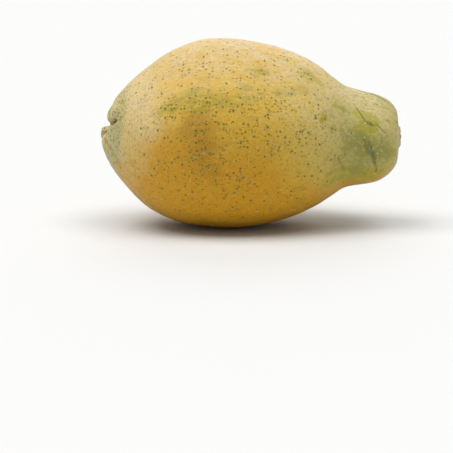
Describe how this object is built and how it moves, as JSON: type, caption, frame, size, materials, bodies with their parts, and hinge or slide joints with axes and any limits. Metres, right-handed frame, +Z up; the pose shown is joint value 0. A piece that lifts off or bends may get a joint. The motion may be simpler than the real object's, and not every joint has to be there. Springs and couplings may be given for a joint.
{
  "type": "papaya",
  "caption": "Whole ripe papaya lying on its side: pear-shaped, with broad ridges, a folded navel at the round end and a corky stem scar on its short neck.",
  "frame": {"origin": "middle of the underside of the bounding box, on the surface that the fruit lies on", "axes": "+X along the fruit's length, from the navel towards the stem scar; +Z up; -Y is the side that the picture shows"},
  "size_m": [0.1746, 0.1104, 0.1089],
  "materials": {
    "skin": null
  },
  "bodies": {
    "root": {"papaya": "skin"}
  },
  "joints": []
}
